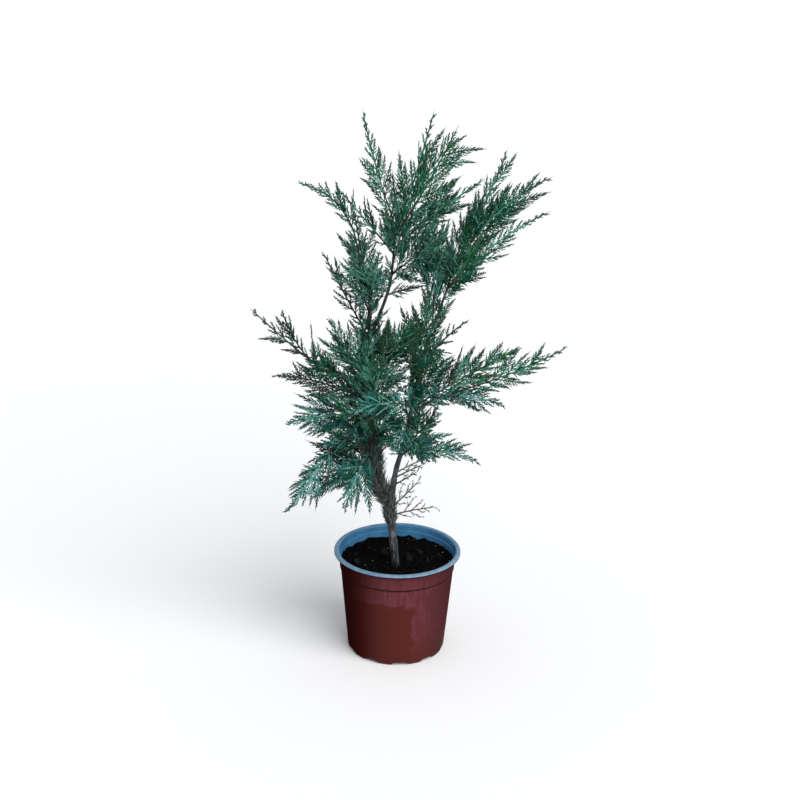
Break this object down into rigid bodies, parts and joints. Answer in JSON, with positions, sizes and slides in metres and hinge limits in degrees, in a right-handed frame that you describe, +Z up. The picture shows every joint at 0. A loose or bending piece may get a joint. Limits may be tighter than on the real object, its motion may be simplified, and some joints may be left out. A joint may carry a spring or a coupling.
{
  "type": "potted leyland cypress",
  "caption": "Young leyland cypress in a two-tone plastic nursery pot: a low-forked trunk with stems, boughs and feathery flat sprays of evergreen foliage.",
  "frame": {"origin": "centre of the pot's flat underside, on the surface it stands on", "axes": "+Z up along the pot's axis, +X to the right and -Y towards the viewer in the picture"},
  "size_m": [0.412, 0.2547, 0.741],
  "materials": {
    "pot_plastic": "satin red-brown outside with a dusty bloom, grey-blue inside and on the lip",
    "soil": "rough, moist potting mix with pale specks",
    "bark": "rough grey-brown bark with shaggy dead scales",
    "foliage": "scale leaves, green to blue-green",
    "dry_twig": "dry grey-brown twigs"
  },
  "bodies": {
    "root": {"pot": "pot_plastic", "soil": "soil", "trunk": "bark", "left_stem": "bark", "right_stem": "bark", "leader": "bark", "bough_left": "bark", "bough_right": "bark", "bough_low_left": "bark", "bough_low_right": "bark", "bough_front": "bark", "bough_back_left": "bark", "bough_back_right": "bark", "spray_top_left": "foliage", "spray_top_right": "foliage", "spray_top_front": "foliage", "spray_crown_right": "foliage", "spray_crown_back": "foliage", "spray_crown_left": "foliage", "spray_crown_front": "foliage", "spray_right_tall": "foliage", "spray_right_high": "foliage", "spray_right_wide": "foliage", "spray_right_front": "foliage", "spray_right_back": "foliage", "spray_right_neck": "foliage", "spray_left_tall": "foliage", "spray_left_side": "foliage", "spray_left_column": "foliage", "spray_left_front": "foliage", "spray_left_rear": "foliage", "spray_left_reach": "foliage", "spray_left_spire": "foliage", "spray_left_spike": "foliage", "spray_left_dark": "foliage", "spray_left_flat": "foliage", "spray_left_behind": "foliage", "spray_front_fan": "foliage", "spray_low_left": "foliage", "spray_low_side": "foliage", "spray_low_front": "foliage", "spray_low_middle": "foliage", "spray_low_hang": "foliage", "spray_low_wing": "foliage", "spray_low_back": "foliage", "spray_mid_up": "foliage", "spray_mid_cross": "foliage", "spray_mid_left": "foliage", "spray_mid_front": "foliage", "spray_mid_low": "foliage", "spray_right_long": "foliage", "spray_right_upper": "foliage", "spray_right_under": "foliage", "spray_right_twig": "foliage", "spray_right_inner": "foliage", "spray_right_rear": "foliage", "spray_low_right": "foliage", "spray_low_right_up": "foliage", "twig_dry_low": "dry_twig", "twig_dry_high": "dry_twig"}
  },
  "joints": []
}
